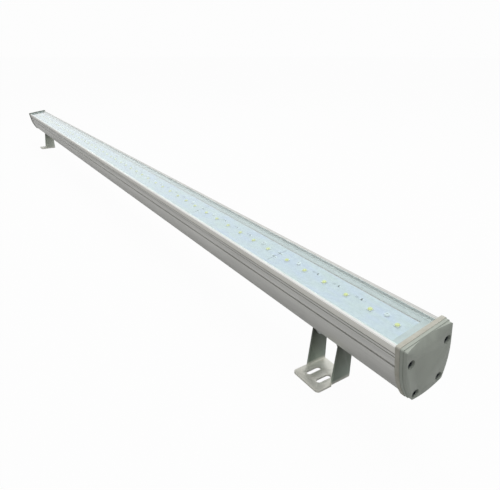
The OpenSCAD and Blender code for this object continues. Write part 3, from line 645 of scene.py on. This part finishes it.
bpy.ops.mesh.primitive_plane_add(size=stage["size"])
floor = bpy.context.object
floor.name = "floor"
paper = bpy.data.materials.new("paperPaleMatt")
paper.use_nodes = True
tree = paper.node_tree
tree.nodes.clear()
matt = addNode(tree, "BsdfDiffuse", {"Color": linearColour(stage["paper"])})
glow = addNode(tree, "Emission", {"Color": linearColour(white), "Strength": 1.0})
output(paper, addNode(tree, "MixShader", links={
    0: whiteFor(tree, stage["mirrorWhite"]), 1: matt.outputs[0], 2: glow.outputs[0]}))
paint(floor, paper)

world = scene.world or bpy.data.worlds.new("studio")
scene.world = world
world.use_nodes = True
tree = world.node_tree
tree.nodes.clear()
strength = addNode(tree, "MapRange", {"To Min": stage["skyFill"], "To Max": 1.0},
                   {"Value": whiteFor(tree, 1.0)})
sky = addNode(tree, "Background", {"Color": linearColour(white)}, {"Strength": strength.outputs[0]})
addNode(tree, "OutputWorld", links={"Surface": sky.outputs[0]})

lamp = bpy.data.lights.new("overheadSoftbox", "AREA")
lamp.shape, lamp.size, lamp.size_y = "RECTANGLE", softbox["long"], softbox["wide"]
lamp.energy = softbox["power"]
holder = bpy.data.objects.new("overheadSoftbox", lamp)
scene.collection.objects.link(holder)
holder.visible_glossy = False  # metal and glass show the white surroundings, not the lamp
holder.visible_transmission = False
aim = (Vector(softbox["target"]) - Vector(softbox["place"])).to_track_quat("-Z", "Y")
holder.matrix_world = Matrix.Translation(softbox["place"]) @ aim.to_matrix().to_4x4()
print("camera, floor and lamp ready")

# CAD shapes that only need their edges broken: widths in mm
edges = {"housing": 0.18, "near_end_cap": 0.3, "far_end_cap": 0.3, "near_gasket": 0.35,
         "far_gasket": 0.35, "near_bracket": 0.16, "far_bracket": 0.16, "near_hanger": 0.2,
         "far_hanger": 0.2, "near_nut_bar": 0.25, "far_nut_bar": 0.25, "near_end_dam": 0.6,
         "far_end_dam": 0.6, "gland_lock_nut": 0.3, "driver_tray": 0.2, "driver_board": 0.1,
         "driver_transformer": 0.35, "supply_terminal": 0.3}
formed = {node: rounded(node, width) for node, width in edges.items()}
# the far bracket gets lighter painted shade up its arms
paint(formed["far_bracket"], extras["sheetFresh"])
# the far gasket is painted darker as painted shade
paint(formed["far_gasket"], extras["gasketCool"])
print("formed pieces done:", len(edges))

# The housing's finish differs by place, as painted highlight, painted light and painted shade: heights from its
# top or bottom, widths from its middle
rim = {"deep": 0.3, "facing": 0.6, "rubbed": 17.9, "bandDeep": 4.2, "bandOut": 18.0,
       "flankDeep": 9.0, "flankWithin": 16.5, "corner": 0.35, "cornerFacing": -0.8}
finishes = ("anodised", "rimBright", "bandHandled", "cornerGrey", "flankClean")
housing = formed["housing"]
paint(housing, paints["anodised_aluminium"], *(extras[finish] for finish in finishes[1:]))
level = tilted.inverted()
barTurn = tilted.to_3x3()
heights = [(level @ vert.co).z for vert in housing.data.vertices]
bottom, top = min(heights), max(heights)

# the front rim is cut along its length, because only its inner half gets the painted highlight
pick(housing, lambda face: (level @ face.calc_center_median()).z > top - rim["deep"] * mm)
bpy.ops.mesh.bisect(plane_co=tilted @ Vector((0, -rim["rubbed"] * mm, 0)),
                    plane_no=barTurn @ Vector((0, 1, 0)))
bpy.ops.object.mode_set(mode="OBJECT")


def finishFor(face):
    middle = level @ face.center
    facing = face.normal.dot(barTurn @ Vector((0, 0, 1)))
    below, above, out = top - middle.z, middle.z - bottom, abs(middle.y)
    outside = out > rim["flankWithin"] * mm
    # the rim's top near the glass: painted highlight
    if below < rim["deep"] * mm and facing > rim["facing"]:
        return "rimBright" if 0 > middle.y > -rim["rubbed"] * mm else "anodised"
    # the band below the rim: painted light
    if out > rim["bandOut"] * mm and below < rim["bandDeep"] * mm:
        return "bandHandled"
    # the bottom corners: painted shade
    if outside and above < rim["corner"] * mm and facing > rim["cornerFacing"]:
        return "cornerGrey"
    # the flanks under the glass: painted light
    if out < rim["flankWithin"] * mm and below < rim["flankDeep"] * mm:
        return "flankClean"
    return "anodised"


for face in housing.data.polygons:
    face.material_index = finishes.index(finishFor(face))

# Glass: a clear pane whose edges are ground, so they look frosted
glass = {"arris": 0.3}
low, high = solidsOf("glass_cover")[0]
piece = block("pane", (high - low) / mm, (high + low) / 2 / mm, glass["arris"])
paint(piece, paints["clear_glass"], extras["groundEdge"])
for face in piece.data.polygons:
    face.material_index = 0 if abs(face.normal.z) > facingUp else 1
mount(piece, "glass_cover")

# Lights: a ceramic body with a dome of phosphor silicone
light = {"side": 3.5, "base": 0.6, "edge": 0.12, "lens": 1.6, "lensTop": 1.5, "sunk": 0.1,
         "tip": 0.12, "arc": (0, 18, 36, 54, 72)}


def oneLight():
    side, base, lens, top = light["side"], light["base"], light["lens"], light["lensTop"]
    body = block("light", (side, side, base), (0, 0, base / 2), light["edge"])
    steps = [(base - light["sunk"], lens)] + domed(base, top - base, lens, light["arc"])
    dome = turned("dome", steps + [(top, light["tip"])], sides=16)
    parts = [paint(body, extras["ceramicWhite"]), paint(dome, paints["light_lens"])]
    return smooth(join(parts), angle=40)


for node in ("lights_far", "lights_middle", "lights_near"):
    mount(repeat(oneLight(), standsOf(node)), node)
print("lights done")

# Resistors: dark chips with tinned ends, and the printed marks beside them
chip = {"long": 2.0, "wide": 1.25, "tall": 0.5, "edge": 0.06, "cap": 0.4, "capWider": 0.1,
        "capTaller": 0.03, "capEdge": 0.05, "capTop": 0.02, "fillet": 0.35, "filletTall": 0.16}
printed = {"thick": 0.03, "dash": 2.6, "line": 0.35, "gap": 1.0, "dashAt": -4.4,
           "dot": 0.25, "dotAt": 3.0}


def oneResistor():
    long, wide, tall, cap, fillet = (chip[key] for key in ("long", "wide", "tall", "cap", "fillet"))
    body = block("resistor", (long - 2 * cap, wide, tall), (0, 0, tall / 2), chip["edge"])
    parts = [paint(body, paints["black_ceramic"])]
    capTall = tall + chip["capTaller"]
    for side in (-1, 1):
        end = block("end", (cap + fillet, wide + chip["capWider"], capTall),
                    (side * (long - cap + fillet) / 2, 0, capTall / 2))
        # the solder runs down to the board beyond the chip's end
        pick(end, lambda face: face.normal.z > facingUp)
        bpy.ops.mesh.inset(thickness=chip["capTop"] * mm)
        bpy.ops.object.mode_set(mode="OBJECT")
        for vert in end.data.vertices:
            if side * vert.co.x > (long + fillet) / 2 * mm and vert.co.z > tall / 2 * mm:
                vert.co.z = chip["filletTall"] * mm
        parts.append(paint(softEdges(end, chip["capEdge"], segments=1), paints["tinned_copper"]))
    return smooth(join(parts), angle=40)


def printedMark():
    # two dashes on one side of the resistor and a dot on the other
    thick = printed["thick"]
    parts = [block("mark", (printed["dash"], printed["line"], thick),
                   (printed["dashAt"], side * printed["gap"] / 2, thick / 2)) for side in (-1, 1)]
    dot = pin(0, thick, printed["dot"], sides=12)
    parts.append(move(dot, Matrix.Translation((printed["dotAt"] * mm, 0, 0))))
    return paint(join(parts), extras["printInk"])


stands = standsOf("board_resistors")
mount(repeat(oneResistor(), stands), "board_resistors")
mount(repeat(printedMark(), stands), "board_resistors", "boardMarks")

# Solder links from board to board: a flat strap with a round bead of solder on each end
link = {"long": 6.0, "wide": 1.6, "strap": 0.3, "strapWide": 0.96, "edge": 0.1,
        "bead": 0.95, "beadTop": 0.75, "arc": (0, 20, 40, 60, 78)}


def oneLink():
    long, strap = link["long"] - link["wide"], link["strap"]
    size = (long, link["strapWide"], strap)
    body = block("link", size, (0, 0, strap / 2), link["edge"], segments=2)
    parts = [paint(body, extras["strapTin"])]
    for side in (-1, 1):
        bead = turned("bead", domed(0, link["beadTop"], link["bead"], link["arc"]), sides=16)
        away = side * (link["long"] / 2 - link["bead"]) * mm
        parts.append(move(paint(bead, paints["tinned_copper"]), Matrix.Translation((away, 0, 0))))
    return smooth(join(parts), angle=60)


mount(repeat(oneLink(), standsOf("board_links")), "board_links")
print("board parts done")

# Screws: drawn head up from the seat; a head's profile is in shares of its height and radius
boardScrew = {"head": 1.9, "tall": 1.2, "shank": 1.0, "long": 3.2, "point": 0.3, "pointWide": 0.8,
              "cross": 0.5, "crossLong": 2.2, "crossDeep": 0.7,
              "profile": ((0.35, 1), (0.7, 0.93), (0.92, 0.78), (1, 0.55))}
capScrew = {"head": 2.75, "tall": 1.7, "thread": 1.4, "long": 16, "pitch": 1.0, "socket": 1.5,
            "deep": 1.0}
hangerScrew = {"head": 3.5, "tall": 2.4, "thread": 2.0, "long": 7.0, "pitch": 1.0, "socket": 1.45,
               "deep": 1.3}
socketed = {"threadDeep": 0.22, "threadTo": -1.5, "plainFrom": -1.3,
            "profile": ((0.45, 1), (0.8, 0.9), (1, 0.72))}


def headSteps(spec, profile):
    # the head starts with a step out from the shank
    steps = [(spec["tall"] * up, spec["head"] * out) for up, out in profile]
    return [(least, spec["head"])] + steps


def crossHead():
    # pan head with a cross recess
    foot, shank, tall = -boardScrew["long"], boardScrew["shank"], boardScrew["tall"]
    steps = [(foot, shank * boardScrew["pointWide"]), (foot + boardScrew["point"], shank),
             (0, shank)]
    piece = turned("screw", steps + headSteps(boardScrew, boardScrew["profile"]), sides=24)
    long, wide, deep = boardScrew["crossLong"], boardScrew["cross"], boardScrew["crossDeep"]
    for size in ((long, wide, deep * 2), (wide, long, deep * 2)):
        combine(piece, block("cutter", size, (0, 0, tall)))
    return smooth(paint(piece, paints["white_nylon"]))


def socketHead(spec):
    # button head with a hexagon socket
    tall, thread = spec["tall"], spec["thread"]
    steps = threaded(-spec["long"], socketed["threadTo"], thread, spec["pitch"],
                     socketed["threadDeep"])
    steps += [(socketed["plainFrom"], thread), (0, thread)] + headSteps(spec, socketed["profile"])
    piece = turned("screw", steps)
    return smooth(combine(piece, pin(tall - spec["deep"], tall + past, spec["socket"], sides=6)))


places = []
for low, high in solidsOf("board_screws"):
    centre = (low + high) / 2
    places.append(Matrix.Translation((centre.x, centre.y, high.z - boardScrew["tall"] * mm)))
mount(repeat(crossHead(), places), "board_screws")

for end, out in (("near", 1), ("far", -1)):
    places = []
    for low, high in solidsOf(end + "_cap_screws"):
        centre = (low + high) / 2
        seat = high.x - capScrew["tall"] * mm if out > 0 else low.x + capScrew["tall"] * mm
        places.append(Matrix.Translation((seat, centre.y, centre.z)) @ turnedAbout("Y", 90 * out))
    mount(repeat(socketHead(capScrew), places), end + "_cap_screws")
    seat = Matrix.Translation((0, 0, hangerScrew["tall"] * mm)) @ turnedAbout("X", 180)
    places = [stand @ seat for stand in standsOf(end + "_hanger_screws")]
    mount(repeat(socketHead(hangerScrew), places), end + "_hanger_screws")
print("screws done")

# Pivot bolts, washers and self-locking nuts, drawn about Z and laid along the bar
bolt = {"across": 8, "head": 3.5, "chamfer": 0.35, "shank": 2.5, "pitch": 0.8, "depth": 0.28,
        "threadFrom": 0.3, "threadTo": 12, "plainFrom": 12.6, "sunk": 0.1,
        "flange": 0.25, "flangeWide": 3.76, "flangeSunk": 0.05}
nut = {"across": 8, "tall": 5, "chamfer": 0.35, "bore": 2.55, "collar": 1.5,
       "collarSteps": ((0, 3.05), (0.12, 3.35), (0.4, 3.55), (1.8, 3.55)),
       "ring": 2.95, "ringSeat": 1.3, "ringLow": 0.15, "ringHigh": 1.29, "ringFree": 0.01}
washer = {"low": 0, "high": 1.0, "outer": 5.0, "inner": 2.55, "edge": 0.15}


def bored(piece, cuts, sides=48):
    # each cut is (low, high, radius) about Z
    for low, high, radius in cuts:
        combine(piece, pin(low, high, radius, sides))
    return smooth(piece, angle=30)


def ring(spec, sides=48, boreSides=48):
    # a flat ring with broken outer edges
    low, high, outer, edge = (spec[key] for key in ("low", "high", "outer", "edge"))
    steps = [(low, outer - edge), (low + edge, outer), (high - edge, outer), (high, outer - edge)]
    bore = (low - past, high + past, spec["inner"])
    return bored(turned("ring", steps, sides), [bore], boreSides)


def pivotBolt(length):
    # from its tip to the top of its head, which starts at the seat
    seat = length - bolt["head"]
    shank, wide, flangeTop = bolt["shank"], bolt["flangeWide"], seat + bolt["flange"]
    steps = [(0, shank - bolt["depth"])]
    steps += threaded(bolt["threadFrom"], bolt["threadTo"], shank, bolt["pitch"], bolt["depth"])
    steps += [(bolt["plainFrom"], shank), (seat + bolt["sunk"], shank)]
    head = hexagon("head", bolt["across"], flangeTop, length, bolt["chamfer"])
    flange = pin(seat, flangeTop + bolt["flangeSunk"], wide, sides=40)
    return smooth(join([turned("bolt", steps), head, flange]), angle=30)


def lockNut():
    # the collar, at zero, holds the nylon ring, and the hexagon follows it
    tall, bore = nut["tall"], nut["bore"]
    body = hexagon("nut", nut["across"], nut["collar"], tall, nut["chamfer"], bothEnds=True)
    combine(body, turned("collar", nut["collarSteps"], sides=40), "UNION")
    combine(body, pin(-past, tall + past, bore))
    combine(body, pin(-past, nut["ringSeat"], nut["ring"]))
    nylon = pin(nut["ringLow"], nut["ringHigh"], nut["ring"] - nut["ringFree"])
    combine(nylon, pin(-past, tall, bore))
    parts = [paint(body, paints["stainless_steel"]), paint(nylon, extras["ringBlue"])]
    return smooth(join(parts), angle=30)


def alongBar(x):
    return Matrix.Translation((x, 0, 0)) @ turnedAbout("Y", 90)


for end in ("near", "far"):
    low, high = solidsOf(end + "_pivot_bolt")[0]
    mount(move(pivotBolt((high.x - low.x) / mm), alongBar(low.x)), end + "_pivot_bolt")
    low, high = solidsOf(end + "_pivot_nut")[0]
    mount(move(lockNut(), alongBar(low.x)), end + "_pivot_nut")
    places = [alongBar(low.x) for low, high in solidsOf(end + "_pivot_washers")]
    mount(repeat(ring(washer, boreSides=32), places), end + "_pivot_washers")
print("pivots done")

# Cable gland: a hexagon body, a domed nut, the rubber that grips the cable and a flat seal;
# heights run outwards from the outer face of the cap
gland = {"across": 15, "chamfer": 0.5, "hexFrom": 1.0, "hexTo": 4.5, "thread": 5.95, "pitch": 1.5,
         "depth": 0.5, "inside": -7.5, "threadTo": 0.5, "plainFrom": 0.7, "plainTo": 5.0,
         "neckFrom": 5.1, "neckTo": 11.0, "neckEdge": 0.3, "bore": 3.75, "seatFrom": 5.0,
         "seatBore": 4.5, "through": 20}
domeNut = {"hexFrom": 4.5, "hexTo": 11.5, "sunk": 1, "domeFrom": 11.1, "domeWide": 7.25,
           "top": 14.5, "topWide": 5.4, "arc": (0, 15, 30, 45, 60), "bore": 6.05, "boreTo": 11.0,
           "lip": 3.8}
insert = {"low": 5.0, "high": 11.0, "outer": 4.4, "inner": 3.0, "edge": 0.4}
flatSeal = {"low": 0, "high": 1.0, "outer": 7.5, "inner": 6.05, "edge": 0.2}


def glandBody():
    thread, pitch, depth, neckTo = gland["thread"], gland["pitch"], gland["depth"], gland["neckTo"]
    steps = threaded(gland["inside"], gland["threadTo"], thread, pitch, depth)
    steps += [(gland["plainFrom"], thread), (gland["plainTo"], thread - depth)]
    steps += threaded(gland["neckFrom"], neckTo, thread, pitch, depth)[1:]
    steps += [(neckTo - gland["neckEdge"], thread), (neckTo, thread - gland["neckEdge"])]
    flats = hexagon("flats", gland["across"], gland["hexFrom"], gland["hexTo"], gland["chamfer"],
                    bothEnds=True)
    combine(flats, turned("thread", steps, sides=48), "UNION")
    return bored(flats, [(gland["inside"] - past, gland["through"], gland["bore"]),
                         (gland["seatFrom"], gland["through"], gland["seatBore"])])


def glandNut():
    low, wide = domeNut["domeFrom"], domeNut["domeWide"]
    rise, narrow = domeNut["top"] - low, wide - domeNut["topWide"]
    arc = [math.radians(a) for a in domeNut["arc"]]
    steps = [(low + rise * math.sin(a) / math.sin(arc[-1]),
              wide - narrow * (1 - math.cos(a)) / (1 - math.cos(arc[-1]))) for a in arc]
    steps.insert(0, (domeNut["hexTo"] - domeNut["sunk"], wide))
    flats = hexagon("nut", gland["across"], domeNut["hexFrom"], domeNut["hexTo"], gland["chamfer"],
                    bothEnds=True)
    combine(flats, turned("dome", steps, sides=60), "UNION")
    return bored(flats, [(0, domeNut["boreTo"], domeNut["bore"]),
                         (0, gland["through"], domeNut["lip"])])


low, high = solidsOf("gland_body")[0]
axis = (low + high) / 2
onCap = Matrix.Translation((high.x + gland["inside"] * mm, axis.y, axis.z)) @ turnedAbout("Y", -90)
mount(move(glandBody(), onCap), "gland_body")
mount(move(glandNut(), onCap), "gland_dome_nut")
mount(move(ring(insert), onCap), "gland_insert")
mount(move(ring(flatSeal), onCap), "gland_washer")
print("gland done")

# Driver parts in the room under the boards: the capacitors' lip and top are heights from their feet
capacitor = {"radius": 5.0, "tall": 13.0, "rim": 0.5, "roll": 1.8, "rollHalf": 0.5, "rollDeep": 0.3,
             "lip": 12.9, "lipOut": 4.7, "lipIn": 4.0, "top": 12.75, "topWide": 3.9,
             "ventLong": 6.0, "ventWide": 0.3, "ventDeep": 0.25}
core = {"low": 0.8, "high": 5.2, "outer": 5.2, "inner": 3.3, "edge": 0.3}
winding = {"turns": 22, "wire": 0.38, "middle": 4.25, "halfWide": 1.3, "halfTall": 2.6}
coil = {"half": 7.6}


def canWithVent():
    radius, edge, roll, top = (capacitor[key] for key in ("radius", "rim", "roll", "top"))
    half, lip = capacitor["rollHalf"], capacitor["lip"]
    steps = [(0, radius - edge), (edge, radius), (roll - half, radius),
             (roll, radius - capacitor["rollDeep"]), (roll + half, radius),
             (capacitor["tall"] - edge, radius), (lip, capacitor["lipOut"]),
             (lip, capacitor["lipIn"]), (top, capacitor["topWide"])]
    piece = turned("capacitor", steps, sides=40)
    paint(piece, paints["capacitor_sleeve"], extras["canTop"])
    for face in piece.data.polygons:
        onTop = face.normal.z > facingUp and face.center.z > (top - spare) * mm
        face.material_index = 1 if onTop else 0
    long, wide, deep = capacitor["ventLong"], capacitor["ventWide"], capacitor["ventDeep"]
    for size in ((wide, long, deep * 2), (long, wide, deep * 2)):
        combine(piece, block("vent", size, (0, 0, top)))
    return smooth(piece)


def woundRing():
    # a ferrite ring with turns of wire through it
    bpy.ops.mesh.primitive_torus_add(major_radius=mm, minor_radius=winding["wire"] * mm,
                                     major_segments=16, minor_segments=6,
                                     rotation=(math.pi / 2, 0, 0))
    loop = bpy.context.object
    bpy.ops.object.transform_apply(location=True, rotation=True, scale=True)
    # the loop, of 1 mm radius, is drawn out to go round the core at the wire's own thickness
    for vert in loop.data.vertices:
        for axis, half in ((0, winding["halfWide"]), (2, winding["halfTall"])):
            if abs(vert.co[axis]) > least * mm:
                vert.co[axis] += math.copysign((half - 1) * mm, vert.co[axis])
    paint(loop, extras["enamelWire"])
    out = Matrix.Translation((winding["middle"] * mm, 0, (core["low"] + core["high"]) / 2 * mm))
    places = [turnedAbout("Z", 360 * i / winding["turns"]) @ out for i in range(winding["turns"])]
    body = paint(ring(core, sides=40, boreSides=40), extras["ferrite"])
    return smooth(join([body, repeat(loop, places)]), angle=40)


mount(repeat(canWithVent(), standsOf("driver_capacitors")), "driver_capacitors")
mount(move(woundRing(), standsOf("driver_choke")[0]), "driver_choke")

# the transformer's ferrite core shows at both ends of the coil
piece = formed["driver_transformer"]
piece.data.materials.append(extras["ferrite"])
low, high = solidsOf("driver_transformer")[0]
for face in piece.data.polygons:
    if abs(face.center.x - (low.x + high.x) / 2) > coil["half"] * mm:
        face.material_index = 1
print("driver parts done")
